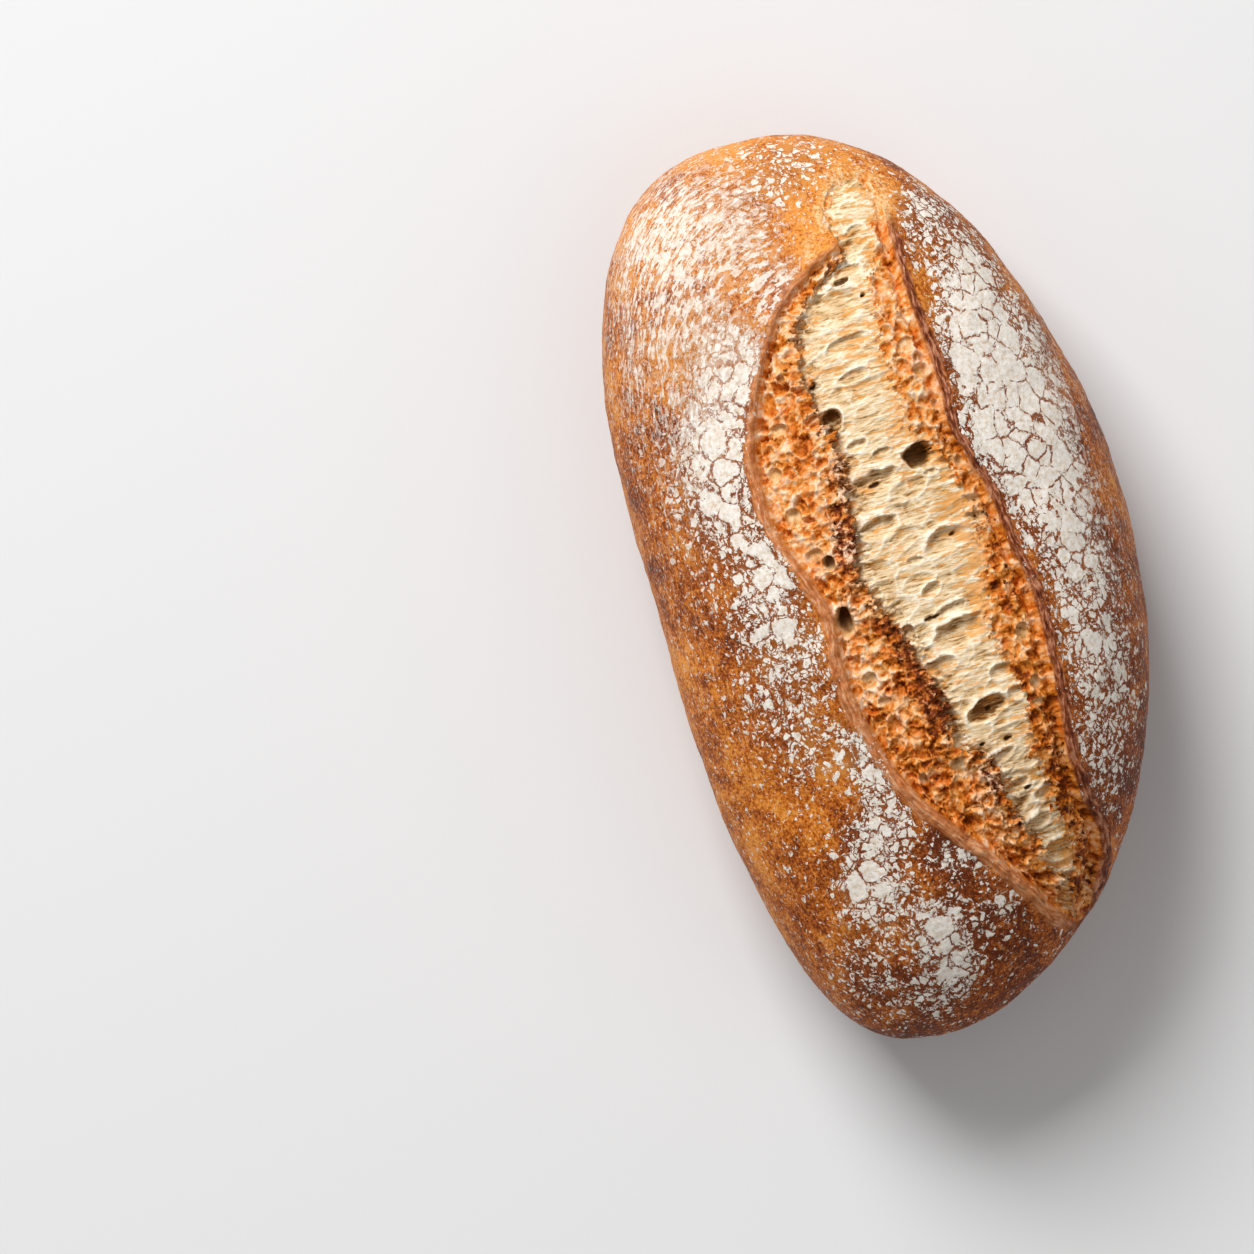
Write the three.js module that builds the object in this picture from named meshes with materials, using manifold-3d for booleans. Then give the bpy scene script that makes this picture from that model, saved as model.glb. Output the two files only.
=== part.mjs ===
// Sourdough loaf: a long oval hearth loaf whose single score tore wide open while it baked.
// Millimetres, +Z up. The long axis is X, and the origin is on the flat base, in the middle of the
// loaf's length and width. The broad end is at +X, and the torn score faces up and towards -Y.
import * as THREE from 'three';
import { mergeVertices } from 'three/addons/utils/BufferGeometryUtils.js';
import Module from 'manifold-3d';

// Overall sizes of the baked loaf
const loafLength = 229;
const loafWidth = 121;
const loafHeight = 80;

// Body
const widestHeight = 33; // height of the widest line above the base
const pressedDepth = 5; // how far the rounded underside was pressed flat
const broadEndBend = 12; // how far each end's tip swings towards +Y from the middle line
const slimEndBend = 18;
const broadEndBendPower = 1.7; // 1 would be a straight swing, more leaves the middle straighter
const slimEndBendPower = 2.6;
const broadEndRoundness = 2.4; // superellipse exponents: 2 is an ellipse, more is blunter
const slimEndRoundness = 2.1;
const undersideEndRoundness = 3;
const crownRoundness = 2.15;
const undersideRoundness = 2.7;
// Broad, uneven swells of the risen dough. Each is a wave of this length along the loaf, with this
// many crests around it.
const swells = [
  { height: 0.9, length: 182, start: 1.3, crests: 2, lean: -1.2 },
  { height: 0.55, length: 107, start: -2, crests: 3, lean: 0 },
];

// Score: the lips stand proud of the crust, and between them lie a torn shelf and the crumb
const scoreLength = 186;
const scoreMiddle = -1; // place of its middle along X
const scoreWidth = 50;
const leftLipHeight = 1.8;
const rightLipHeight = 0.9;
const lipWidth = 7;
const shelfDepth = 2.6; // the torn shelf below the left lip
const crumbDepth = 1.6; // how much deeper the crumb lies than the shelf
const creaseDepth = 2; // the crease under the right lip, below the crumb
const creaseWidth = 3.5;
const openingSlope = 6; // run over which a lip falls to the shelf, and the shelf to the crumb
const endFade = 18; // run over which the tear grows shallow towards each end of the score
const tipFade = 18; // sections smaller than this, near the loaf's tips, carry a shallower tear
const sideFade = 0.5; // rise of the crust, as a sine, below which the tear grows shallow

// Lines of the score in plan. Each point is [along, across]: along in half score lengths from its
// middle, and across in score widths from the X axis.
const leftLip = [[-1, -0.34], [-0.82, -0.13], [-0.6, 0.17], [-0.37, 0.35], [-0.08, 0.39],
  [0.13, 0.51], [0.35, 0.56], [0.56, 0.46], [0.76, 0.25], [0.88, -0.12], [1, -0.36]];
const shelfRim = [[-1, -0.38], [-0.7, -0.24], [-0.48, -0.04], [-0.24, 0.04], [0.03, 0.22],
  [0.28, 0.15], [0.55, 0.19], [0.72, 0.12], [0.88, -0.15], [1, -0.37]];
const rightLip = [[-1, -0.48], [-0.86, -0.62], [-0.58, -0.6], [-0.2, -0.63], [0.02, -0.58],
  [0.25, -0.48], [0.56, -0.43], [0.88, -0.42], [1, -0.4]];

// Mesh
const ringPoints = 92; // points around the loaf
const ringCount = 54; // steps along the loaf
const denseAngle = THREE.MathUtils.degToRad(100); // the side of the ring with the closest points
const denseness = 0.5;
const middleDenseness = 0.15;
const slopeStep = 1; // step along X over which a line's slope is taken

function smoothstep(value, low, high) {
  return THREE.MathUtils.smoothstep(value, low, high);
}

function bump(distance, width) {
  return Math.exp(-((2 * distance / width) ** 2));
}

// A smooth line through the score's points, as a function that gives how far a place in plan lies
// on the -Y side of it, square to the line
function scoreLine(points) {
  const along = points.map((point) => scoreMiddle + point[0] * scoreLength / 2);
  const across = points.map((point) => point[1] * scoreWidth);
  const line = new THREE.CubicInterpolant(along, across, 1, new Float64Array(1));
  const acrossAt = (x) => line.evaluate(THREE.MathUtils.clamp(x, along[0], along.at(-1)))[0];
  return (x, y) => {
    const slope = (acrossAt(x + slopeStep) - acrossAt(x - slopeStep)) / (2 * slopeStep);
    return (acrossAt(x) - y) / Math.hypot(1, slope);
  };
}

const beyondLeftLip = scoreLine(leftLip);
const beyondRim = scoreLine(shelfRim);
const beyondRightLip = scoreLine(rightLip);

// How full the body is at x: 1 in the middle, and 0 at the tips
function fullness(x, roundness) {
  const reach = Math.min(Math.abs(x) / (loafLength / 2), 1);
  return (1 - reach ** roundness) ** (1 / roundness);
}

function middleLine(x) {
  const reach = Math.abs(x) / (loafLength / 2);
  return x > 0
    ? broadEndBend * reach ** broadEndBendPower
    : slimEndBend * reach ** slimEndBendPower;
}

// Distance from the widest line's middle to the plain crust, at angle from +Y through +Z
function sectionRadius(x, angle) {
  const roundness = x > 0 ? broadEndRoundness : slimEndRoundness;
  const halfWidth = loafWidth / 2 * fullness(x, roundness);
  const above = Math.sin(angle) > 0;
  const halfHeight = above
    ? (loafHeight - widestHeight) * fullness(x, roundness)
    : (widestHeight + pressedDepth) * fullness(x, undersideEndRoundness);
  if (halfWidth === 0 || halfHeight === 0) {
    return 0;
  }
  const power = above ? crownRoundness : undersideRoundness;
  const across = Math.abs(Math.cos(angle) / halfWidth) ** power;
  const up = Math.abs(Math.sin(angle) / halfHeight) ** power;
  return (across + up) ** (-1 / power);
}

function swell(x, angle) {
  const waves = swells.map(({ height, length, start, crests, lean }) => (
    height * Math.sin(2 * Math.PI * x / length + start) * Math.cos(crests * angle + lean)));
  return waves.reduce((sum, wave) => sum + wave, 0) * fullness(x, 2);
}

// Height of the torn score above or below the plain crust, at a place in plan
function scoreRelief(x, y) {
  const fromEnd = scoreLength / 2 - Math.abs(x - scoreMiddle);
  const insideLeft = beyondLeftLip(x, y);
  const insideRim = beyondRim(x, y);
  const insideRight = -beyondRightLip(x, y);
  const lips = leftLipHeight * bump(insideLeft + lipWidth / 2, lipWidth)
    + rightLipHeight * bump(insideRight + lipWidth / 2, lipWidth);
  const inside = smoothstep(insideRight, 0, openingSlope);
  const shelf = shelfDepth * smoothstep(insideLeft, 0, openingSlope) * inside;
  const crumb = crumbDepth * smoothstep(insideRim, 0, openingSlope) * inside;
  const crease = creaseDepth * bump(insideRight - creaseWidth / 2, creaseWidth);
  return (lips - shelf - crumb - crease) * smoothstep(fromEnd, 0, endFade);
}

// Moves a point of the unit sphere, whose poles lie on X, onto the loaf
function placePoint(point) {
  const turn = Math.acos(THREE.MathUtils.clamp(-point.x, -1, 1));
  const x = -loafLength / 2 * Math.cos(turn + middleDenseness * Math.sin(2 * turn));
  const ring = Math.atan2(point.z, point.y);
  const angle = ring - denseness * Math.sin(ring - denseAngle);
  const radius = sectionRadius(x, angle);
  const y = middleLine(x) + radius * Math.cos(angle);
  const shallow = smoothstep(Math.sin(angle), 0, sideFade) * smoothstep(radius, 0, tipFade);
  const reach = radius + scoreRelief(x, y) * shallow + swell(x, angle);
  return new THREE.Vector3(x, middleLine(x) + reach * Math.cos(angle),
    widestHeight + reach * Math.sin(angle));
}

function roundedBody() {
  const geometry = new THREE.SphereGeometry(1, ringPoints, ringCount);
  geometry.rotateZ(-Math.PI / 2);
  geometry.deleteAttribute('normal');
  geometry.deleteAttribute('uv');
  const body = mergeVertices(geometry);
  const position = body.getAttribute('position');
  const point = new THREE.Vector3();
  for (let i = 0; i < position.count; i++) {
    point.fromBufferAttribute(position, i);
    const placed = placePoint(point);
    position.setXYZ(i, placed.x, placed.y, placed.z);
  }
  return body;
}

// Brings the body to the loaf's overall sizes, with its highest point at the loaf's height
function fitToSize(geometry) {
  geometry.computeBoundingBox();
  const { min, max } = geometry.boundingBox;
  geometry.translate(-(min.x + max.x) / 2, -(min.y + max.y) / 2, 0);
  geometry.scale(loafLength / (max.x - min.x), loafWidth / (max.y - min.y), loafHeight / max.z);
  return geometry;
}

function toSolid(wasm, geometry) {
  const mesh = new wasm.Mesh({
    numProp: 3,
    vertProperties: new Float32Array(geometry.getAttribute('position').array),
    triVerts: new Uint32Array(geometry.getIndex().array),
  });
  return new wasm.Manifold(mesh);
}

function toGeometry(solid) {
  const mesh = solid.getMesh();
  const geometry = new THREE.BufferGeometry();
  geometry.setAttribute('position', new THREE.BufferAttribute(mesh.vertProperties, 3));
  geometry.setIndex(new THREE.BufferAttribute(mesh.triVerts, 1));
  geometry.computeVertexNormals();
  return geometry;
}

// Everything below the surface that the loaf was baked on
function belowBase() {
  const depth = loafHeight;
  const block = new THREE.BoxGeometry(2 * loafLength, 2 * loafWidth, depth);
  block.translate(0, 0, -depth / 2);
  block.deleteAttribute('normal');
  block.deleteAttribute('uv');
  return mergeVertices(block);
}

const wasm = await Module();
wasm.setup();
const baked = toSolid(wasm, fitToSize(roundedBody())).subtract(toSolid(wasm, belowBase()));

const crust = new THREE.MeshStandardMaterial({ color: 0xb9763f, roughness: 0.8, metalness: 0 });
const loaf = new THREE.Mesh(toGeometry(baked), crust);
loaf.name = 'loaf';

const part = new THREE.Group();
part.add(loaf);
export default part;
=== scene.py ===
"""Sourdough loaf: the looks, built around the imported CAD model.

The whole loaf is one closed skin, as a baked loaf is: a fine grid drawn round it from tip to tip,
moved out and in for the lips, the torn bands and the crumb of the open score. One material paints it
from masks that are worked out with the shape. Lengths are millimetres in the row frame until the mesh
is made: +X runs to the broad end, +Z is up, and the score faces up and towards -Y.
"""

import math
from types import SimpleNamespace

import bpy
import numpy as np
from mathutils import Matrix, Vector


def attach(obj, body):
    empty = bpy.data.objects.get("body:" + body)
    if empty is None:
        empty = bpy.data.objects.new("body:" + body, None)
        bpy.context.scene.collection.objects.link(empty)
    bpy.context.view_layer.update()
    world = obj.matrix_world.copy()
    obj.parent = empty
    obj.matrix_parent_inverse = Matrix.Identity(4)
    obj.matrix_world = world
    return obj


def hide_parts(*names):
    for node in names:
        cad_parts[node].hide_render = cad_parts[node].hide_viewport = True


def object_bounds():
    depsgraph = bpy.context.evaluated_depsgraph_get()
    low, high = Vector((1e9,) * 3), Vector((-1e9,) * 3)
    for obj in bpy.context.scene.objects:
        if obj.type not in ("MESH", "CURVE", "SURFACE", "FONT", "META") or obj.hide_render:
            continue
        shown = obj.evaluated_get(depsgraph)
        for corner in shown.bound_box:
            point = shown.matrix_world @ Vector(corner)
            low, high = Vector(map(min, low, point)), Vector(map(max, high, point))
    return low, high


MM = 0.001
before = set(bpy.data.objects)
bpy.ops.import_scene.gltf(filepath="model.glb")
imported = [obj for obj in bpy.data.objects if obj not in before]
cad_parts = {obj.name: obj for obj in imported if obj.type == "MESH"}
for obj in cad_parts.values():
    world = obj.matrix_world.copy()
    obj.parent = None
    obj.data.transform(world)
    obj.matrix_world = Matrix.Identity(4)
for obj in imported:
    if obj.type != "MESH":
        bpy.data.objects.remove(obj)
CAD_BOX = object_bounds()
LOW, HIGH = (np.array(corner) / MM for corner in CAD_BOX)
LENGTH, WIDTH, HEIGHT = HIGH - LOW

# ---------------------------------------------------------------- the body, as the CAD model has it
WIDEST_HEIGHT = 33
PRESSED_DEPTH = 5
BROAD_BEND, SLIM_BEND = 12, 18
BROAD_BEND_POWER, SLIM_BEND_POWER = 1.7, 2.6
BROAD_ROUNDNESS, SLIM_ROUNDNESS, UNDERSIDE_END_ROUNDNESS = 2.4, 2.1, 3
CROWN_ROUNDNESS, UNDERSIDE_ROUNDNESS = 2.15, 2.7
SWELLS = [  # height, length of the wave along the loaf, its start, crests around the loaf, lean
    (0.9, 182, 1.3, 2, -1.2),
    (0.55, 107, -2, 3, 0),
]

# ---------------------------------------------------------------- the skin's grid
RINGS = 860
RING_POINTS = 560
MIDDLE_DENSENESS = 0.12
SCORE_DENSENESS = 0.6

# ---------------------------------------------------------------- lines of the score, as (x, y)
LEFT_LIP = [(-96, -20), (-90, -15.7), (-84, -12.2), (-76, -6.6), (-66, 1.1), (-56, 8.8), (-47, 13.6),
            (-38, 17), (-27, 19.2), (-17, 19.9), (-7, 19.2), (1, 21), (11, 25.3), (21, 27.6),
            (32, 27.7), (42, 26.2), (51, 22.7), (60, 18.2), (69, 12.4), (76, 4.1), (82, -6.5),
            (88, -5), (94, -7), (101, -14)]
RIM = [(-96, -21.5), (-91, -18.6), (-84, -17.8), (-76, -15.7), (-67, -12.1), (-59, -11.2), (-52, -9.2),
       (-45, -2.1), (-38, -1.3), (-30, -0.8), (-22, 2), (-13, 4.9), (-4, 9.7), (3, 11.5), (10, 9),
       (16, 8.6), (26, 7.7), (34, 8), (42, 10), (50, 10.3), (58, 11.2), (65, 9.4), (71, 5.2),
       (76, -1.2), (82, -7), (88, -5.5), (94, -7.5), (101, -15)]
RIGHT_BAND = [(-96, -22.5), (-91, -21.5), (-83, -24.8), (-73, -25.5), (-62, -23.2), (-49, -21.7),
              (-37, -23.7), (-25, -20.3), (-12, -20), (3, -22.7), (19, -20.6), (30, -16.7),
              (36, -12.4), (44, -12), (57, -11.6), (70, -12.5), (80, -17), (92, -18), (101, -16)]
RIGHT_LIP = [(-96, -24), (-90, -27), (-80, -31.4), (-72, -32), (-64, -30), (-54, -29.5), (-41, -30.6),
             (-28, -31.2), (-18, -31.4), (-7, -30.4), (1, -28.7), (12, -27.7), (23, -24.3),
             (31, -22.2), (42, -22.4), (52, -21.8), (60, -20.7), (70, -20.4), (81, -20.6),
             (92, -20), (101, -17)]

# Open bubbles: x, y, length across the loaf, width along it, depth, turn in degrees
CRUMB_BUBBLES = [
    (76, -8, 8, 3.2, 1.6, 0), (68, -2, 15, 10, 2.2, 8), (41, 6.2, 6.5, 7, 4.2, 0),
    (27, -13, 9, 7.5, 5.5, 0), (23, 0, 14, 7, 3.2, 10), (22, -15, 4, 1.8, 1.2, 0),
    (12, 2, 11.5, 6.5, 3, 12), (30, -4, 5, 2.2, 1.2, 5), (2, -5, 4.5, 2.2, 1.2, 0),
    (5, -14, 12, 7, 2.6, 14), (-6, -7, 5.5, 4, 2, 20), (-12, -10, 9, 3.5, 1.8, 14),
    (-15, 1.5, 4, 5.5, 3, 0), (-18, -11, 14.5, 9, 3.6, 12), (-25, -4, 10, 5, 2, 10),
    (-30, -19, 7.5, 4.5, 2, 0), (-38, -13, 12, 6.5, 3.8, 20), (-36, -21, 5, 4, 2, 0),
    (-52, -3.5, 7.5, 3, 1.6, 20), (-51, -12, 10, 3.4, 2, 20), (-59, -15, 7.5, 3.5, 2.2, 20),
    (-62, -23, 8.5, 5, 2.6, 15), (-69, -18, 8, 4.2, 2.4, 20), (-77, -22, 9, 6, 3.2, 20),
    (-85, -22, 7, 5, 3, 20), (58, -3, 12, 5, 1.6, 10), (50, -2, 9, 3.6, 1.3, 8),
    (91, -12, 5, 3, 1.6, 10), (85, -12.5, 6, 3, 1.8, 5), (33, 2, 6, 3.4, 1.6, 10),
]
BAND_BUBBLES = [
    (31, 24, 4, 5.5, 2.2, 0), (19.5, 22, 4.5, 6.5, 2.2, 0), (42, 20, 4.5, 4, 2, 0),
    (-8, 16.7, 5.5, 8.5, 4.2, 0), (-24, 14, 4, 4.5, 1.8, 0), (-30, 12, 3.5, 3, 1.8, 0),
    (7, 16.5, 3.4, 4.5, 3.8, 0), (9, 19.5, 5, 5, 1.5, 0),
    (-51, 7.5, 2.6, 4, 2.8, 0), (-50, -2, 4.5, 5.5, 2.2, 0), (10, 9, 2, 3.5, 2, 0),
    (62, 11, 2, 2, 1.2, 0), (54, 16, 2.5, 3, 1.8, 0), (38, -20.5, 2.5, 3, 2, 0),
    (23, -22.5, 2.5, 3.5, 2.2, 0), (-22, -26.5, 4, 5.5, 2.6, 0), (-35, -26.5, 3.5, 5, 2.4, 0),
    (8, -22.5, 6, 4.5, 2.4, 0), (-40, -26, 3.5, 3, 1.6, 0), (13, -22, 8, 3.4, 2.2, 0),
    (54, -17.2, 5, 5, 1.5, 0), (47, -18.9, 4.5, 4.5, 1.5, 0),
]
DEEP_HOLE = 3.7
# Narrow openings in the crumb, painted dark as shade: x, y, length across the loaf, width along it
SLITS = [
    (74, -5.5, 5, 1.3), (50.5, 9.1, 2.6, 1.9), (22.6, -0.2, 3.6, 1.2), (69, -10, 1.8, 0.9),
    (69, -13.2, 1.8, 0.9), (-12.8, -5.3, 4.2, 1.2), (-38.4, -13.6, 1.8, 1.1), (-46.8, -16.2, 2.4, 1.1),
    (-46.6, -9.3, 1.6, 1), (-86, -24, 3, 1.4), (-79, -28, 3, 1.6), (6, -16, 2, 0.9), (-60, -18, 2, 0.9),
]
# Crumb that browned in streaks: x, y, reach along, reach across, how much
TOASTED = [(12, -18, 12, 5, 0.7), (-5, -18, 10, 5, 0.8), (-18, -21, 9, 4, 0.8), (30, -9, 9, 4, 0.5),
           (56, -6, 10, 5, 0.5), (-50, -16, 14, 4, 0.4), (-84, -22, 8, 6, 0.8), (86, -12, 9, 8, 0.4)]
# Burnt edges of the torn bands: x, y, reach along, reach across, how dark
BURNS = [
    (14, 10.5, 8, 3, 1.1), (5, 11.5, 5, 3, 0.8), (-10, 6, 7, 3, 0.75), (-20, 2.5, 6, 3, 1.1),
    (-30, 0.5, 5, 3, 0.7), (-36, 0.5, 6, 3.5, 1.1), (-56, -9, 5, 3, 0.7), (-66, -12, 4, 3, 0.4),
    (28, 8.4, 6, 2.5, 0.5), (8, -24, 8, 2.5, 0.6), (-10, -27, 10, 3, 0.6), (30, -20, 5, 2.5, 0.5),
    (-60, -27, 12, 3, 0.7), (-80, -28, 10, 3, 0.9), (-45, -27, 8, 3, 0.5), (-88, -24, 6, 5, 0.5),
]

# Flour: x, y, reach along the loaf, reach across it, how thick
DUSTINGS = [
    (100, 34, 16, 14, 0.5), (84, 36, 20, 12, 0.36), (94, 20, 10, 10, 0.3), (70, 34, 14, 10, 0.25),
    (77, 52, 18, 8, 0.35), (50, 52, 18, 9, 0.15), (74, 9, 8, 6, 0.55), (62, 23, 9, 7, 0.65),
    (52, 30, 10, 7, 0.75), (42, 37, 12, 8, 0.75), (26, 37, 12, 8, 0.7), (10, 31, 9, 7, 0.8),
    (-2, 34, 9, 9, 0.5), (-14, 29, 9, 8, 0.4), (20, 48, 20, 9, 0.1), (-38, 20, 6, 5, 0.6),
    (-48, 18, 7, 5, 0.75), (-60, 20, 6, 7, 1.0), (-73, 26, 9, 8, 0.9), (-71, 3, 5, 6, 0.45),
    (-88, 13, 7, 7, 0.95), (-98, 12, 6, 7, 0.8), (-104, 20, 6, 9, 0.35), (-92, 33, 10, 8, 0.35),
    (-84, -4, 7, 6, 0.3), (-35, 33, 12, 9, 0.3), (-22, 40, 12, 9, 0.2), (88, 14, 14, 8, 0.25),
    (64, -38, 10, 8, 1.1), (52, -34, 9, 8, 1.3), (38, -40, 12, 10, 1.5), (26, -31, 8, 6, 1.2),
    (14, -38, 8, 9, 1.2), (18, -48, 12, 6, 0.8), (49, -51, 12, 5, 0.6), (0, -44, 9, 9, 0.75),
    (-12, -45, 12, 9, 0.7), (-32, -43, 10, 8, 0.75), (-46, -43, 10, 9, 0.4),
    (-60, -38, 10, 7, 0.35), (84, -30, 10, 7, 0.5), (104, 0, 9, 14, 0.3), (88, -42, 12, 8, 0.3),
]
PLAIN_FLOUR = 0.17
THICKEST_FLOUR = 1.3
# Plates of dried flour: how many to the millimetre, the flour that the first and the last of them
# need, and the width of the cracks between them
FLOUR_PLATES = [(0.95, 0.17, 0.8, 0.05), (0.42, 0.22, 0.75, 0.045), (0.17, 0.46, 0.9, 0.03)]
# Places where the flour lies in streaks round the loaf: x, y, reach along, reach across, how much
STREAKED = [(95, 34, 24, 22, 1.0), (64, 45, 22, 14, 0.6), (20, 60, 44, 12, 0.3), (74, 12, 14, 10, 0.8),
            (30, -58, 60, 8, 0.5)]
# Darker, redder crust (lighter where the amount is negative), in the same form: partly toasting, partly
# painted shade at the slim end and along the -Y side, and painted light on top of the broad end and its
# +Y side. Then the golden crust past the top of the score
TOAST_PAINTED_SHADE_AND_LIGHT = [(-112, 10, 24, 45, 1.1), (-70, -45, 40, 12, 1.0), (-88, -2, 12, 9, 0.8),
              (88, 16, 16, 12, -0.6), (108, 0, 14, 30, -0.8), (60, 30, 20, 10, -0.4),
              (85, 40, 24, 16, -0.4), (32, 50, 30, 8, 0.5),
              (10, -56, 70, 9, 0.5), (-66, 8, 16, 8, 0.5), (20, -24, 30, 4, 0.8),
              (-60, -27, 45, 7, 1.1), (-40, 3, 40, 7, 0.9)]
GOLDEN_CRUST = [(90, -6, 5, 4, 0.9), (82, 0, 5, 3, 0.6), (98, -12, 5, 7, 0.7),
                (90, -21, 10, 3, 0.7)]

# ---------------------------------------------------------------- light, floor and camera
BUMP_STRENGTH, BUMP_DISTANCE = 0.6, 0.00025
SHINE = 0.12
FLOOR_HALF = 3.0
FLOOR_COLOUR = (0.76, 0.76, 0.765, 1)
SKY_COLOUR, SKY_STRENGTH = (1.0, 0.99, 0.975, 1), 0.3
LIGHTS = [  # name, direction it shines from, distance, side of the square, watts
    ("key", (0.85, 0.25, 0.8), 2.6, 1.3, 77),
    ("fill", (-0.5, -0.6, 1.0), 2.4, 2.0, 6),
]
# The camera looks straight down. The loaf lies to the right of the picture's middle and leans left.
CAMERA_TURN = math.radians(-105.15)
CAMERA_PLACE = (0.0046, 0.0682)
CAMERA_HEIGHT = 3.033
CAMERA_LENS = 344.4

# ---------------------------------------------------------------- numbers from nothing: noise
GRADIENTS = np.random.default_rng(5).normal(size=(256, 3))
GRADIENTS /= np.linalg.norm(GRADIENTS, axis=1)[:, None]


def scramble(ix, iy, iz, seed):
    """A whole number that looks random for each lattice point."""
    h = (ix.astype(np.int64) * 374761393 + iy.astype(np.int64) * 668265263
         + iz.astype(np.int64) * 1440662683 + seed * 1013904223) & 0xFFFFFFFF
    h = ((h ^ (h >> 13)) * 1274126177) & 0xFFFFFFFF
    return h ^ (h >> 16)


def noise(x, y, z=0.0, seed=0):
    """Smooth gradient noise, about -1 to 1."""
    x, y, z = np.broadcast_arrays(np.asarray(x, float), y, z)
    ix, iy, iz = np.floor(x), np.floor(y), np.floor(z)
    fx, fy, fz = x - ix, y - iy, z - iz
    total = np.zeros_like(fx)
    for cx in (0, 1):
        wx = fade(fx if cx else 1 - fx)
        for cy in (0, 1):
            wy = fade(fy if cy else 1 - fy)
            for cz in (0, 1):
                g = GRADIENTS[scramble(ix + cx, iy + cy, iz + cz, seed) & 255]
                dot = g[..., 0] * (fx - cx) + g[..., 1] * (fy - cy) + g[..., 2] * (fz - cz)
                total += wx * wy * fade(fz if cz else 1 - fz) * dot
    return total * 1.6


def fade(t):
    return t * t * t * (t * (t * 6 - 15) + 10)


def fractal(x, y, z=0.0, octaves=4, seed=0, gain=0.5):
    """Noise with finer and finer detail."""
    total, amount, reach = 0.0, 1.0, 0.0
    for octave in range(octaves):
        scale = 2.03 ** octave
        total = total + amount * noise(x * scale, y * scale, z * scale, seed + 17 * octave)
        reach += amount
        amount *= gain
    return total / reach


def ridges(x, y, z=0.0, octaves=3, seed=0, gain=0.5):
    """Sharp crests between smooth hollows, 0 to 1."""
    total, amount, reach = 0.0, 1.0, 0.0
    for octave in range(octaves):
        scale = 2.03 ** octave
        crest = 1 - np.abs(noise(x * scale, y * scale, z * scale, seed + 31 * octave))
        total = total + amount * crest ** 3
        reach += amount
        amount *= gain
    return total / reach


def cells(x, y, seed=0):
    """Bubbles packed side by side: distance to the wall (0 on it), a random number for each bubble,
    and how far the point lies from the bubble's middle along x."""
    ix, iy = np.floor(x), np.floor(y)
    nearest = np.full(x.shape, 9.0)
    second = np.full(x.shape, 9.0)
    chance = np.zeros(x.shape)
    off_middle = np.zeros(x.shape)
    zero = np.zeros_like(ix)
    for cx in (-1, 0, 1):
        for cy in (-1, 0, 1):
            h = scramble(ix + cx, iy + cy, zero, seed)
            dx = ix + cx + 0.1 + 0.8 * (h & 1023) / 1023 - x
            dy = iy + cy + 0.1 + 0.8 * ((h >> 10) & 1023) / 1023 - y
            distance = np.hypot(dx, dy)
            closer = distance < nearest
            second = np.where(closer, nearest, np.minimum(second, distance))
            chance = np.where(closer, ((h >> 20) & 1023) / 1023, chance)
            off_middle = np.where(closer, -dx, off_middle)
            nearest = np.where(closer, distance, nearest)
    return second - nearest, chance, off_middle


def smoothstep(value, low, high):
    t = np.clip((value - low) / (high - low), 0, 1)
    return t * t * (3 - 2 * t)


def bump(distance, width):
    return np.exp(-((2 * distance / width) ** 2))


def line_through(points):
    """A smooth line through points given as (x, y), as a function from x to y."""
    xs, ys = np.array(points, float).T
    slopes = np.gradient(ys, xs)

    def at(x):
        x = np.clip(x, xs[0], xs[-1])
        k = np.clip(np.searchsorted(xs, x) - 1, 0, len(xs) - 2)
        span = xs[k + 1] - xs[k]
        t = (x - xs[k]) / span
        ends = ys[k] * (1 + 2 * t) * (1 - t) ** 2 + ys[k + 1] * t * t * (3 - 2 * t)
        return ends + span * t * (1 - t) * (slopes[k] * (1 - t) - slopes[k + 1] * t)

    return at


def beyond(points, x, y):
    """How far a place in plan lies on the -Y side of a line, square to it."""
    at, step = line_through(points), 1.0
    slope = (at(x + step) - at(x - step)) / (2 * step)
    return (at(x) - y) / np.hypot(1, slope)


# ---------------------------------------------------------------- the plain crust
STREAK_RADIUS = 75  # turns the steepness of the crust into millimetres down the side of the loaf


def fullness(x, roundness):
    reach = np.minimum(np.abs(x) / (LENGTH / 2), 1)
    return (1 - reach ** roundness) ** (1 / roundness)


def middle_line(x):
    reach = np.abs(x) / (LENGTH / 2)
    return np.where(x > 0, BROAD_BEND * reach ** BROAD_BEND_POWER,
                    SLIM_BEND * reach ** SLIM_BEND_POWER)


def section_radius(x, angle):
    roundness = np.where(x > 0, BROAD_ROUNDNESS, SLIM_ROUNDNESS)
    full = fullness(x, roundness)
    above = np.sin(angle) > 0
    half_width = np.maximum(WIDTH / 2 * full, 1e-6)
    below = (WIDEST_HEIGHT + PRESSED_DEPTH) * fullness(x, UNDERSIDE_END_ROUNDNESS)
    half_height = np.maximum(np.where(above, (HEIGHT - WIDEST_HEIGHT) * full, below), 1e-6)
    power = np.where(above, CROWN_ROUNDNESS, UNDERSIDE_ROUNDNESS)
    across = np.abs(np.cos(angle) / half_width) ** power
    up = np.abs(np.sin(angle) / half_height) ** power
    return (across + up) ** (-1 / power)


def swell(x, angle):
    total = 0.0
    for height, length, start, crests, lean in SWELLS:
        wave = np.sin(2 * math.pi * x / length + start)
        total = total + height * wave * np.cos(crests * angle + lean)
    return total * fullness(x, 2)


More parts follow.
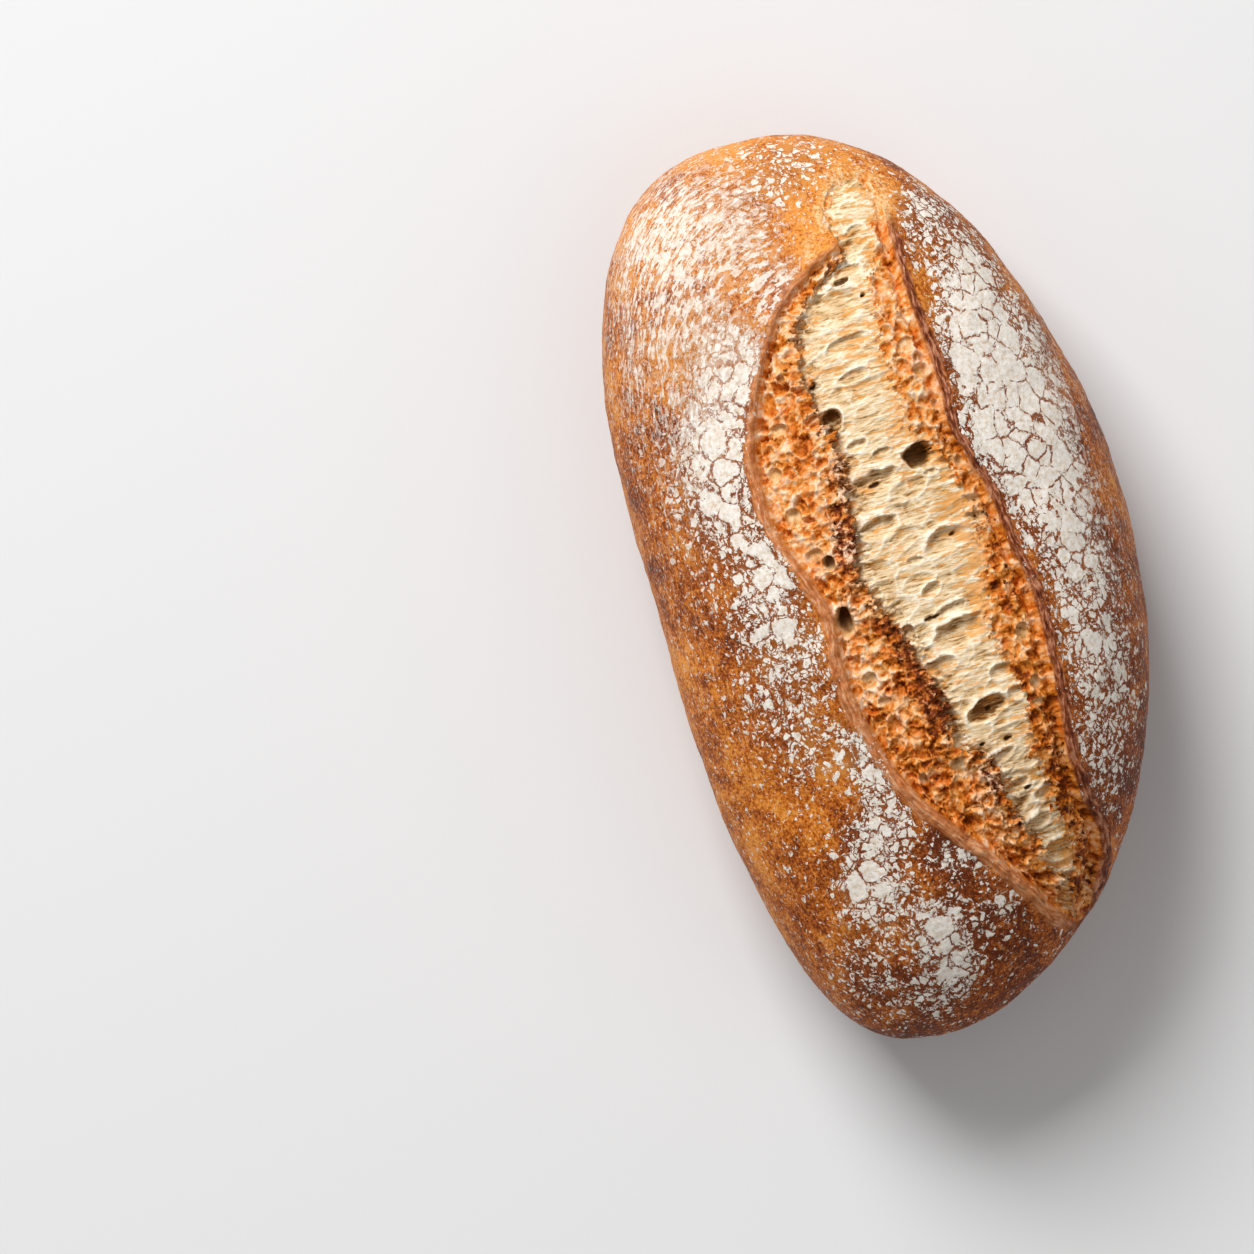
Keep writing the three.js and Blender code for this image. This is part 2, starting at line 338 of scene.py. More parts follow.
def grid():
    """x and angle of every grid point. Rings of points run round the loaf, closer in the score."""
    turn = np.linspace(0, math.pi, RINGS + 1)[1:-1, None]
    x = -LENGTH / 2 * np.cos(turn + MIDDLE_DENSENESS * np.sin(2 * turn))
    ring = np.linspace(0, 2 * math.pi, RING_POINTS, endpoint=False)[None, :] - math.pi / 2
    score_y = (line_through(LEFT_LIP)(x) + line_through(RIGHT_LIP)(x)) / 2
    roundness = np.where(x > 0, BROAD_ROUNDNESS, SLIM_ROUNDNESS)
    half_width = WIDTH / 2 * np.maximum(fullness(x, roundness), 0.2)
    dense = np.arccos(np.clip((score_y - middle_line(x)) / half_width, -0.9, 0.9))
    angle = ring - SCORE_DENSENESS * np.sin(ring - dense)
    return np.broadcast_to(x, angle.shape).copy(), angle


def place(x, angle, reach):
    return np.stack([x, middle_line(x) + reach * np.cos(angle),
                     WIDEST_HEIGHT + reach * np.sin(angle)], -1)


def normals(points):
    """Outward directions of a grid of points that closes round each ring."""
    along = np.gradient(points, axis=0)
    around = np.roll(points, -1, 1) - np.roll(points, 1, 1)
    out = np.cross(around, along)
    return out / np.maximum(np.linalg.norm(out, axis=-1), 1e-9)[..., None]


# ---------------------------------------------------------------- the open score
def bubbles(x, y, places, seed):
    """Depth of the listed open bubbles, their rims, and how far each rim hangs over its bubble.

    The bubbles are deepest under their +X side, where the crumb was pulled away from the rim.
    """
    depth, rim, overhang = (np.zeros(x.shape) for _ in range(3))
    for k, (bx, by, across, along, deep, turn) in enumerate(places):
        near = (np.abs(x - bx) < across) & (np.abs(y - by) < across)
        dx, dy = x[near] - bx, y[near] - by
        c, s = math.cos(math.radians(turn)), math.sin(math.radians(turn))
        wobble = 0.2 * noise(dx / 2.6, dy / 3.4, k * 7.3, seed)
        up = (dx * c + dy * s) / (along / 2)
        e = np.hypot(up, (dy * c - dx * s) / (across / 2)) + wobble
        level, tilt, inner = (0.8, 0.15, -0.65) if deep > DEEP_HOLE else (0.48, 0.34, -0.5)
        bowl = smoothstep(-e, -1.02, inner) * deep * (level + tilt * np.clip(up, -1, 1))
        edge = np.exp(-(((e - 1.05) / 0.13) ** 2)) * (0.6 + 0.4 * np.clip(up, -0.8, 1))
        depth[near] = np.maximum(depth[near], bowl)
        rim[near] = np.maximum(rim[near], edge)
        overhang[near] = np.maximum(overhang[near], edge * np.clip(up, 0, 1) * min(deep, 3) / 3)
    return depth, rim, overhang


def slits(x, y):
    """Depth, 0 to 1, of the narrow openings."""
    depth = np.zeros(x.shape)
    for k, (sx, sy, across, along) in enumerate(SLITS):
        near = (np.abs(x - sx) < across) & (np.abs(y - sy) < across)
        dx, dy = x[near] - sx + 0.14 * (y[near] - sy), y[near] - sy
        e = np.hypot(dx / (along / 2), dy / (across / 2)) + 0.35 * noise(dx, dy, k * 3.7, 77)
        depth[near] = np.maximum(depth[near], 1 - smoothstep(e, 0.6, 1.15))
    return depth


def crumb_relief(x, y):
    """Stretched bubbles, webs and strands that run across the score, and how pale each place is."""
    wx = x + 2.4 * fractal(x / 12, y / 14, 0.3, 2, 41) + 0.45 * fractal(x / 2.6, y / 4, 0.9, 2, 43)
    wx = wx + 0.13 * y
    wy = y + 2.4 * fractal(x / 11, y / 11, 5.3, 2, 42)
    big, big_chance, big_off = cells(wx / 5.2, wy / 12, 3)
    mid, mid_chance, mid_off = cells(wx / 2.3, wy / 6.5, 4)
    small, small_chance, small_off = cells(wx / 1.15, wy / 3.6, 5)
    big_pit = big_chance ** 1.5 * smoothstep(big, 0.02, 0.5) * (1 + 1.1 * big_off)
    mid_pit = mid_chance ** 1.5 * smoothstep(mid, 0.02, 0.45) * (1 + 1.1 * mid_off)
    small_pit = small_chance * smoothstep(small, 0.02, 0.5) * (1 + small_off)
    web = 0.36 * (1 - smoothstep(big, 0, 0.1)) + 0.24 * (1 - smoothstep(mid, 0, 0.16))
    strands = ridges(wx / 1.4, wy / 9, 1.1, 3, 6)
    threads = ridges(wx / 0.75, wy / 6, 2.2, 2, 7)
    relief = 0.6 * web - 0.85 * big_pit - 0.3 * mid_pit - 0.1 * small_pit
    relief = relief + 0.13 * strands + 0.09 * threads
    # pale: partly the crumb's own tone, partly painted highlight on the webs and strands and painted
    # shade in the pits
    pale = 0.2 + 0.7 * web + 0.42 * strands + 0.32 * threads
    pale = pale - 0.16 * big_pit - 0.22 * mid_pit - 0.16 * small_pit
    return relief, pale


def torn_relief(x, y, seed):
    """Craggy, toasted crumb of the torn bands, and how pale each place is."""
    wx = x + 2.2 * fractal(x / 4.5, y / 4.5, 0.3, 4, seed, 0.6)
    wy = y + 2.2 * fractal(x / 4.5, y / 4.5, 7.3, 4, seed + 1, 0.6)
    wall, chance, _ = cells(wx / 4.2, wy / 4.4, seed + 2)
    thin_wall, thin_chance, _ = cells(wx / 1.8, wy / 2.1, seed + 4)
    dent = (0.9 * chance + 0.25) * smoothstep(wall, 0.05, 0.6)
    small_dent = thin_chance * smoothstep(thin_wall, 0.04, 0.5)
    web = 0.5 * (1 - smoothstep(wall, 0, 0.12)) + 0.35 * (1 - smoothstep(thin_wall, 0, 0.16))
    crags = ridges(wx / 3.2, wy / 3.6, 0.7, 3, seed + 3, 0.6)
    wisps = ridges(wx / 1.3, wy / 1.9, 4.7, 2, seed + 6, 0.6)
    relief = 1.4 * crags + 0.25 * wisps + 0.7 * web - 1.3 * dent - 0.35 * small_dent - 0.25
    patch = fractal(x / 4.0, y / 4.6, 2.5, 3, seed + 7)
    # pale: the crumb's own patches, plus painted highlight on the crags, wisps and webs and painted
    # shade in the dents
    pale = 0.4 + 0.7 * patch + 0.7 * (crags - 0.4) + 0.5 * (wisps - 0.35) + 0.5 * web - 0.25 * dent
    return relief, pale


def score_lines(x, y):
    """How far each place lies inside the score's lines, in millimetres, and the share of each zone."""
    wander = 1.4 * fractal(x / 7, y / 7, 3.1, 3, 21) + 1.5 * fractal(x / 2.8, y / 3.2, 1.1, 3, 29, 0.6)
    ragged = 0.5 + 1.1 * smoothstep(fractal(x / 7, y / 9, 6.1, 2, 30), -0.4, 0.6)
    at = SimpleNamespace()
    at.spikes = 3.6 * ragged * (ridges(x / 1.8, y / 3.2, 1.9, 3, 22, 0.6) - 0.45)
    at.in_left = beyond(LEFT_LIP, x, y) + 0.7 * fractal(x / 9, y / 9, 0.4, 3, 23)
    at.in_rim = beyond(RIM, x, y) + wander - at.spikes
    at.in_right_band = -beyond(RIGHT_BAND, x, y) + 1.6 * wander - 1.3 * at.spikes
    at.in_right = -beyond(RIGHT_LIP, x, y) + 0.8 * fractal(x / 6, y / 6, 8.4, 3, 24)
    at.opening = smoothstep(at.in_left, -0.3, 0.5) * smoothstep(at.in_right, -0.3, 0.5)
    past_rim = smoothstep(at.in_rim, -0.2, 0.3)
    before_right_band = smoothstep(at.in_right_band, -0.6, 0.6)
    at.crumb = past_rim * before_right_band
    at.left_band = at.opening * (1 - past_rim)
    at.right_band = at.opening * (1 - before_right_band) * (1 - at.left_band)
    at.left_ends = smoothstep(-x, -85, -80)
    at.right_ends = smoothstep(-x, -90, -80)
    return at


def crumb_bed(x, y, at):
    """Height and paleness of the crumb, depth and overhang of its bubbles, and its slits."""
    bubble, bubble_rim, overhang = bubbles(x, y, CRUMB_BUBBLES, 9)
    slit = slits(x, y)
    strands, strands_pale = crumb_relief(x, y)
    calm = 1 - 0.75 * smoothstep(bubble, 0, 0.6)
    height = -1.5 - 1.8 * bump(at.in_rim - 0.5, 5) + 0.7 * (strands - 0.3) * calm
    height = height - bubble + 0.6 * bubble_rim - 1.2 * slit
    # Paler along the bubble rims, a painted highlight; darker in the slits and the deeper a bubble is,
    # painted shade
    pale = 0.52 + (strands_pale - 0.52) * (0.35 + 0.65 * calm) + 0.6 * bubble_rim - slit
    pale = pale - 0.14 * np.minimum(bubble, 3.5)
    return height, pale, bubble, overhang, slit


def torn_bands(x, y, at):
    """Height and paleness of the torn bands, and depth and overhang of their open bubbles."""
    hole, hole_rim, overhang = bubbles(x, y, BAND_BUBBLES, 10)
    calm = 1 - 0.92 * smoothstep(hole, 0, 0.5)
    torn, pale = torn_relief(x, y, 50)
    craggy = 0.4 + 0.85 * smoothstep(fractal(x / 5, y / 5, 8.8, 2, 53), -0.35, 0.3)
    torn = torn * calm * craggy - hole + 0.6 * hole_rim
    left = -2.3 + 1.9 * smoothstep(at.in_rim, -8, 0) - 0.9 * bump(at.in_left - 1.5, 3) + torn
    right = -1.3 + 0.9 * torn - 1.5 * bump(at.in_right - 1.2, 2.4)
    # The holes' rims are painted paler: a painted highlight
    return at.left_band * left + at.right_band * right, pale + 0.4 * hole_rim, hole, overhang


def lips(x, y, at):
    """Height of the two lips with the fine lines along them, and where their smooth edge shows."""
    left_lip = bump(at.in_left + 1.2, 3.6) * at.left_ends
    right_lip = bump(at.in_right + 1.5, 4.2) * at.right_ends
    uneven = 0.7 + 0.7 * fractal(x / 4, y / 4, 4.4, 3, 31)
    height = (1.2 * left_lip + 0.9 * right_lip) * uneven * (1 - at.opening)
    height = height + 0.2 * ridges(x / 7, at.in_left / 0.6, 0.2, 3, 25) * left_lip
    height = height + 0.3 * ridges(x / 5, at.in_right / 0.7, 0.6, 3, 26) * right_lip
    left_width = 2.1 + 0.9 * smoothstep(-x, -10, 45) - 0.9 * smoothstep(x, 30, 60)
    left_width = left_width + 1.8 * fractal(x / 3, y / 3, 0.7, 4, 27, 0.65)
    right_width = 2.1 + 1.4 * fractal(x / 3, y / 3, 2.7, 3, 28)
    left_edge = smoothstep(at.in_left + left_width, -0.9, 0.9) * (at.in_right > 0) * at.left_ends
    right_edge = smoothstep(at.in_right + right_width, -0.5, 0.5) * (at.in_left > 0) * at.right_ends
    return height, np.clip(left_edge + right_edge, 0, 1) * (1 - at.opening)


def score(x, y):
    """Relief of the open score, how far it leans over towards -Y and -X, and its masks."""
    at = score_lines(x, y)
    crumb_height, crumb_pale, bubble, overhang, slit = crumb_bed(x, y, at)
    band_height, band_pale, hole, hole_overhang = torn_bands(x, y, at)
    lip_height, lip = lips(x, y, at)
    ends = smoothstep(x, -98, -93) * smoothstep(-x, -100, -95)
    shallow = 0.15 + 0.85 * smoothstep(-x, -92, -76) * smoothstep(x, -97, -88)
    height = at.opening * (band_height + at.crumb * crumb_height) * shallow + lip_height
    fade_out = ends * at.opening.clip(0.2, 1)
    rim_lean = (0.9 + 0.7 * np.clip(at.spikes, 0, 2)) * bump(at.in_rim + 0.5, 1.8)
    lean_y = (bump(at.in_left + 0.4, 2.4) + rim_lean) * at.left_ends * fade_out
    lean_x = (0.9 * overhang * at.crumb + 0.7 * hole_overhang * (1 - at.crumb)) * fade_out
    burnt = (painted(x, y, BURNS) + 0.22 * bump(at.in_rim + 1.5, 5)) * (at.left_band + at.right_band)
    toasted = 0.9 * bump(at.in_rim, 3.2) + 0.95 * smoothstep(-at.in_right_band, -5, 0.5)
    # The deepest crumb bubbles, the slits and the deep band holes get the deep mask: painted shade in
    # the recesses
    deep_crumb = np.maximum(smoothstep(bubble, 2.6, 4.6), slit)
    masks = {
        "crumb": at.crumb * at.opening * ends,
        "torn": np.clip(at.left_band + at.right_band, 0, 1) * ends,
        "pale": np.clip(np.where(at.crumb > 0.5, crumb_pale, band_pale), 0, 1),
        "burnt": ends * np.clip(burnt, 0, 1),
        "lip": ends * lip,
        "right_side": smoothstep(-at.in_right, -1.5, 0.5),
        "deep": deep_crumb * at.crumb + smoothstep(hole, 2.0, 3.6) * (1 - at.crumb),
        "hollow": np.clip(hole, 0, 1) * (1 - at.crumb),
        "toasted": np.clip(toasted + painted(x, y, TOASTED), 0, 1),
        "across": np.where(at.in_left < at.in_right, at.in_left, 40 - at.in_right),
    }
    return height * ends, lean_y, lean_x, masks


def painted(x, y, places):
    """Soft patches laid over each other, 0 to 1 and more."""
    total = np.zeros(x.shape)
    for px, py, along, across, amount in places:
        total += amount * np.exp(-(((x - px) / along) ** 2) - ((y - py) / across) ** 2)
    return total


def loaf_shape():
    """Grid of points of the finished loaf in millimetres, and the masks that its material reads."""
    x, angle = grid()
    radius = section_radius(x, angle)
    plain = place(x, angle, radius + swell(x, angle))
    out = normals(plain)
    upward = smoothstep(np.sin(angle), -0.05, 0.25)
    px, py, pz = np.moveaxis(plain, -1, 0)
    height, lean_y, lean_x, masks = score(px, py)
    height = height * upward
    for name in ("crumb", "torn", "lip", "burnt", "deep", "hollow"):
        masks[name] = masks[name] * upward
    crust = 1 - np.clip(masks["crumb"] + masks["torn"], 0, 1)
    uneven = 0.7 * fractal(px / 16, py / 16, pz / 16, 3, 60)
    pimples = 0.2 * fractal(px / 2.6, py / 2.6, pz / 2.6, 3, 61, 0.6)
    points = plain + out * (height + crust * (uneven + pimples))[..., None]
    points[..., 1] -= lean_y * upward
    points[..., 0] -= lean_x * upward
    masks.update(crust_masks(px, py, pz, angle, upward))
    return fit(points), masks


def crust_masks(x, y, z, angle, upward):
    """Where the crust is floured, streaked, dark and golden, and how far down its side a place is."""
    steepness = np.arcsin(np.clip((z - WIDEST_HEIGHT) / (HEIGHT - WIDEST_HEIGHT), -1, 1))
    ragged = 0.6 * fractal(x / 13, y / 13, z / 13, 4, 62, 0.6)
    floured = smoothstep(np.sin(angle) + ragged, -0.2, 0.6)
    flour = PLAIN_FLOUR + 0.85 * painted(x, y, DUSTINGS) * floured
    # dark: toasting with painted shade, and painted light where negative, which is kept to the floured
    # top
    dark = np.clip(painted(x, y, TOAST_PAINTED_SHADE_AND_LIGHT), -1, 1)
    return {
        "level": STREAK_RADIUS * steepness,
        "flour": np.clip(flour, 0, THICKEST_FLOUR),
        "streaked": np.clip(painted(x, y, STREAKED), 0, 1),
        "dark": np.where(dark < 0, dark * floured, dark),
        "golden": np.clip(painted(x, y, GOLDEN_CRUST) * upward, 0, 1),
    }


def fit(points):
    """Brings the grid to the CAD model's box, and presses its underside flat on the ground."""
    low, high = points.min((0, 1)), points.max((0, 1))
    points[..., 0] = LOW[0] + (points[..., 0] - low[0]) * LENGTH / (high[0] - low[0])
    points[..., 1] = LOW[1] + (points[..., 1] - low[1]) * WIDTH / (high[1] - low[1])
    points[..., 2] = np.maximum(points[..., 2] * HEIGHT / high[2], 0)
    return points


# ---------------------------------------------------------------- the mesh
def tip(points, row):
    return points[row].mean(0)


def make_mesh(points, masks):
    """A closed mesh from the grid, with a point at each tip."""
    rings, count = points.shape[:2]
    tips = np.stack([tip(points, 0), tip(points, -1)])
    vertices = np.concatenate([points.reshape(-1, 3), tips]) * MM
    ring, spot = np.meshgrid(np.arange(rings - 1), np.arange(count), indexing="ij")
    after = (spot + 1) % count
    quads = np.stack([ring * count + spot, ring * count + after,
                      (ring + 1) * count + after, (ring + 1) * count + spot], -1).reshape(-1, 4)
    spots = np.arange(count)
    afters = (spots + 1) % count
    last = (rings - 1) * count
    start_fan = np.stack([np.full(count, rings * count), afters, spots], -1)
    end_fan = np.stack([np.full(count, rings * count + 1), last + spots, last + afters], -1)
    corners = np.concatenate([quads.ravel(), start_fan.ravel(), end_fan.ravel()])
    sizes = np.concatenate([np.full(len(quads), 4), np.full(2 * count, 3)])
    starts = np.concatenate([[0], np.cumsum(sizes)[:-1]])

    mesh = bpy.data.meshes.new("loaf_skin")
    mesh.vertices.add(len(vertices))
    mesh.vertices.foreach_set("co", vertices.astype(np.float32).ravel())
    mesh.loops.add(len(corners))
    mesh.loops.foreach_set("vertex_index", corners.astype(np.int32))
    mesh.polygons.add(len(sizes))
    mesh.polygons.foreach_set("loop_start", starts.astype(np.int32))
    mesh.update(calc_edges=True)
    mesh.shade_smooth()

    layer = mesh.uv_layers.new(name="OFBake")
    layer.data.foreach_set("uv", flat_layout(ring, spot).astype(np.float32).ravel())
    for name, mask in masks.items():
        flat = np.concatenate([mask.reshape(-1), [mask[0].mean(), mask[-1].mean()]])
        attribute = mesh.attributes.new(name, "FLOAT", "POINT")
        attribute.data.foreach_set("value", flat.astype(np.float32))
    mesh.validate()
    return mesh


def flat_layout(ring, spot):
    """The skin laid out flat for baking: rings side by side, with the two fans at the ends."""
    count = ring.shape[1]
    width = ring.shape[0] + 2
    spots = np.arange(count)
    middles, befores, afters = (spots + 0.5) / count, spots / count, (spots + 1) / count
    u_quads = np.stack([(ring + du + 1.0) / width for du in (0, 0, 1, 1)], -1).ravel()
    v_quads = np.stack([(spot + dv) / count for dv in (0, 1, 1, 0)], -1).ravel()
    u_start = np.tile([0, 1.0 / width, 1.0 / width], count)
    v_start = np.stack([middles, afters, befores], -1).ravel()
    u_end = np.tile([1, 1 - 1.0 / width, 1 - 1.0 / width], count)
    v_end = np.stack([middles, befores, afters], -1).ravel()
    return np.stack([np.concatenate([u_quads, u_start, u_end]),
                     np.concatenate([v_quads, v_start, v_end])], -1)


# ---------------------------------------------------------------- the material
class Nodes:
    """Short calls for making the nodes of one material."""

    def __init__(self, name):
        self.material = bpy.data.materials.new(name)
        self.material.use_nodes = True
        self.tree = self.material.node_tree
        self.tree.nodes.clear()

    def new(self, kind, **settings):
        node = self.tree.nodes.new(kind)
        for key, value in settings.items():
            setattr(node, key, value)
        return node

    def link(self, value, socket):
        if isinstance(value, bpy.types.NodeSocket):
            self.tree.links.new(value, socket)
        else:
            socket.default_value = value

    def mask(self, name):
        return self.new("ShaderNodeAttribute", attribute_name=name).outputs["Fac"]

    def math(self, operation, a, b=0.0, clamp=False):
        node = self.new("ShaderNodeMath", operation=operation, use_clamp=clamp)
        self.link(a, node.inputs[0])
        self.link(b, node.inputs[1])
        return node.outputs[0]

    def step(self, value, low, high):
        """0 below low, 1 above high, smooth between."""
        node = self.new("ShaderNodeMapRange", interpolation_type="SMOOTHSTEP")
        self.link(value, node.inputs["Value"])
        self.link(low, node.inputs["From Min"])
        self.link(high, node.inputs["From Max"])
        return node.outputs["Result"]

    def mix(self, amount, a, b, blend="MIX"):
        node = self.new("ShaderNodeMix", data_type="RGBA", blend_type=blend)
        self.link(amount, node.inputs["Factor"])
        self.link(a, node.inputs["A"])
        self.link(b, node.inputs["B"])
        return next(o for o in node.outputs if o.type == "RGBA")

    def ramp(self, value, stops):
        node = self.new("ShaderNodeValToRGB")
        elements = node.color_ramp.elements
        while len(elements) < len(stops):
            elements.new(1.0)
        for element, (place_at, colour) in zip(elements, stops):
            element.position = place_at
            element.color = colour
        self.link(value, node.inputs["Fac"])
        return node.outputs["Color"]

    def scaled(self, vector, scale):
        node = self.new("ShaderNodeVectorMath", operation="MULTIPLY")
        self.link(vector, node.inputs[0])
        node.inputs[1].default_value = scale
        return node.outputs["Vector"]

    def noise(self, vector, detail=2.0, roughness=0.5, scale=1.0):
        node = self.new("ShaderNodeTexNoise")
        self.link(vector, node.inputs["Vector"])
        node.inputs["Scale"].default_value = scale
        node.inputs["Detail"].default_value = detail
        node.inputs["Roughness"].default_value = roughness
        return node

    def warped(self, vector, scale, reach):
        """The same place, pushed about by noise so that nothing runs straight."""
        push = self.new("ShaderNodeVectorMath", operation="MULTIPLY_ADD")
        self.link(self.noise(vector, 2, 0.5, scale).outputs["Color"], push.inputs[0])
        push.inputs[1].default_value = (reach,) * 3
        self.link(vector, push.inputs[2])
        return push.outputs["Vector"]

    def flowing(self, vector, name, along, across):
        """Streaks that follow the lines on which a mask, in millimetres, stays the same."""
        node = self.noise(self.scaled(vector, (along,) * 3), 6, 0.62)
        node.noise_dimensions = "4D"
        self.link(self.math("MULTIPLY", self.mask(name), across), node.inputs["W"])
        return node.outputs["Fac"]

    def blend(self, amount, a, b):
        """Between the numbers a and b."""
        return self.math("ADD", a, self.math("MULTIPLY", amount, self.math("SUBTRACT", b, a)))

    def voronoi(self, vector, feature, scale):
        node = self.new("ShaderNodeTexVoronoi", feature=feature)
        self.link(vector, node.inputs["Vector"])
        node.inputs["Scale"].default_value = scale
        return node


def srgb(red, green, blue):
    """A colour as seen on a screen, 0 to 255, as Blender's linear colour."""
    channels = (c / 255 for c in (red, green, blue))
    return tuple(c / 12.92 if c <= 0.04045 else ((c + 0.055) / 1.055) ** 2.4 for c in channels) + (1,)


def bread_material():
    n = Nodes("bread")
    place_at = n.new("ShaderNodeTexCoord").outputs["Object"]
    mm = n.scaled(place_at, (1 / MM,) * 3)
    warped = n.warped(n.warped(mm, 0.22, 3.0), 1.1, 0.7)
    crust, crust_rough, crust_height = crust_looks(n, mm, warped)
    torn = torn_colour(n, mm)
    crumb = crumb_colour(n, mm)
    colour = n.mix(n.step(n.mask("torn"), 0.3, 0.7), crust, torn)
    colour = n.mix(n.step(n.mask("crumb"), 0.35, 0.65), colour, crumb)
    inside = n.math("MAXIMUM", n.mask("torn"), n.mask("crumb"))
    fine = n.noise(mm, 3, 0.65, 2.0).outputs["Fac"]
    threads = n.noise(n.scaled(n.warped(mm, 0.5, 0.8), (1.9, 0.3, 0.8)), 2, 0.6).outputs["Fac"]
    soft = n.math("ADD", n.math("MULTIPLY", fine, 0.8),
                  n.math("MULTIPLY", n.math("MULTIPLY", threads, 1.2), n.mask("crumb")))
    height = n.math("ADD", n.math("MULTIPLY", crust_height, n.math("SUBTRACT", 1.0, inside)), soft)
    bump_node = n.new("ShaderNodeBump")
    bump_node.inputs["Strength"].default_value = BUMP_STRENGTH
    bump_node.inputs["Distance"].default_value = BUMP_DISTANCE
    n.link(height, bump_node.inputs["Height"])
    shader = n.new("ShaderNodeBsdfPrincipled")
    n.link(colour, shader.inputs["Base Color"])
    n.link(crust_rough, shader.inputs["Roughness"])
    n.link(bump_node.outputs["Normal"], shader.inputs["Normal"])
    shader.inputs["Specular IOR Level"].default_value = SHINE
    output = n.new("ShaderNodeOutputMaterial")
    n.link(shader.outputs["BSDF"], output.inputs["Surface"])
    return n.material


def baked_brown(n, mm):
    """The bare crust: orange-brown, speckled, redder and darker where it caught the heat, with painted
    shade and light.
    """
    patches = n.noise(mm, 3, 0.55, 0.055).outputs["Fac"]
    mottle = n.noise(mm, 4, 0.75, 1.2).outputs["Fac"]
    blotches = n.noise(mm, 4, 0.6, 0.2).outputs["Fac"]
    shade = n.math("ADD", n.math("MULTIPLY", patches, 0.42), n.math("MULTIPLY", mottle, 0.8))
    shade = n.math("ADD", shade, n.math("MULTIPLY", n.math("SUBTRACT", blotches, 0.27), 0.4))
    # The dark mask: toasting, with painted shade at the slim end and the -Y side and painted light on
    # top of the broad end
    shade = n.math("SUBTRACT", shade, n.math("MULTIPLY", n.mask("dark"), 0.13))
    brown = n.ramp(shade, [(0.54, srgb(90, 34, 2)), (0.63, srgb(150, 70, 8)),
                           (0.71, srgb(196, 106, 24)), (0.8, srgb(228, 148, 60))])
    golden = n.ramp(mottle, [(0.36, srgb(190, 110, 40)), (0.48, srgb(224, 166, 98)),
                             (0.62, srgb(242, 212, 166))])
    torn_bits = n.noise(n.warped(mm, 0.5, 1.5), 4, 0.65, 0.4).outputs["Fac"]
    torn_bits = n.math("MULTIPLY", n.math("SUBTRACT", torn_bits, 0.5), 2.5)
    patchy = n.step(n.math("ADD", n.mask("golden"), torn_bits), 0.25, 0.8)
    return n.mix(n.math("MULTIPLY", patchy, 0.85), brown, golden), mottle


def crust_looks(n, mm, warped):
    """Colour, roughness and height of the floured crust."""
    base, mottle = baked_brown(n, mm)
    base = n.mix(n.mask("lip"), base, lip_colour(n, mm))
    covered = n.math("SUBTRACT", n.mask("flour"), n.math("MULTIPLY", n.mask("golden"), 0.12))
    covered = n.math("SUBTRACT", covered, n.math("MULTIPLY", n.mask("lip"), 0.5))
    shade = n.blend(n.mask("streaked"), 0.75, 0.15)
    shaded = n.math("MULTIPLY", n.step(covered, 0.15, 0.6), shade)
    base = n.mix(shaded, base, srgb(116, 50, 8))
    flour = flour_flakes(n, warped, covered)
    haze = n.blend(n.mask("streaked"), 0.05, 0.25)
    dust = n.math("MULTIPLY", n.math("MULTIPLY", covered, haze), n.step(mottle, 0.38, 0.6))
    opacity = n.blend(n.mask("streaked"), 0.95, 0.8)
    cover = n.math("MAXIMUM", n.math("MULTIPLY", flour, opacity), dust, True)
    thickness = n.noise(mm, 4, 0.65, 0.8).outputs["Fac"]
    white = n.ramp(thickness, [(0.3, srgb(212, 190, 164)), (0.46, srgb(234, 224, 210)),
                               (0.6, srgb(246, 241, 233))])
    colour = n.mix(cover, base, white)
    rough = n.math("ADD", 0.55, n.math("MULTIPLY", cover, 0.4))
    height = n.math("ADD", n.math("MULTIPLY", flour, 1.3), n.math("MULTIPLY", mottle, 1.3))
    return colour, rough, height


def flour_flakes(n, warped, covered):
    """1 where crisp flour lies, in plates, streaks and specks, 0 on bare crust."""
    flakes = n.noise(n.scaled(warped, (0.4, 0.46, 0.46)), 7, 0.66).outputs["Fac"]
    streaks = n.flowing(warped, "level", 0.36, 0.85)
    limit = n.math("SUBTRACT", 0.625, n.math("MULTIPLY", covered, 0.215))
    streaky = n.step(n.math("SUBTRACT", streaks, limit), -0.004, 0.012)
    flour = n.blend(n.mask("streaked"), flour_plates(n, warped, covered, flakes), streaky)
    specks = n.noise(warped, 3, 0.65, 0.85).outputs["Fac"]
    speck_limit = n.math("SUBTRACT", 0.66, n.math("MULTIPLY", covered, 0.1))
    speck = n.step(n.math("SUBTRACT", specks, speck_limit), 0.0, 0.015)
    return n.math("MAXIMUM", flour, n.math("MULTIPLY", speck, 0.85))


def flour_plates(n, warped, covered, flakes):
    """Flour cracked into plates: broad ones where it is thick, crumbs where it is thin."""
    total = 0.0
    crumble = n.math("MULTIPLY", n.math("SUBTRACT", flakes, 0.5), 1.5)
    healed = n.step(n.noise(warped, 3, 0.6, 0.2).outputs["Fac"], 0.49, 0.62)
    for scale, first, last, crack in FLOUR_PLATES:
        edge = n.voronoi(warped, "DISTANCE_TO_EDGE", scale).outputs["Distance"]
        colour = n.voronoi(warped, "F1", scale).outputs["Color"]
        chance = n.new("ShaderNodeSeparateColor")
        n.link(colour, chance.inputs["Color"])
        need = n.blend(chance.outputs["Red"], first, last)
        spare = n.math("SUBTRACT", n.math("ADD", covered, crumble), need)
        crack = n.math("SUBTRACT", crack, n.math("MULTIPLY", healed, 0.07))
        gap = n.blend(n.step(spare, 0.0, 0.3), 0.16, crack)
        plate = n.step(n.math("SUBTRACT", edge, gap), -0.02, 0.03)
        total = n.blend(n.step(spare, -0.01, 0.02), total, plate)
    return total


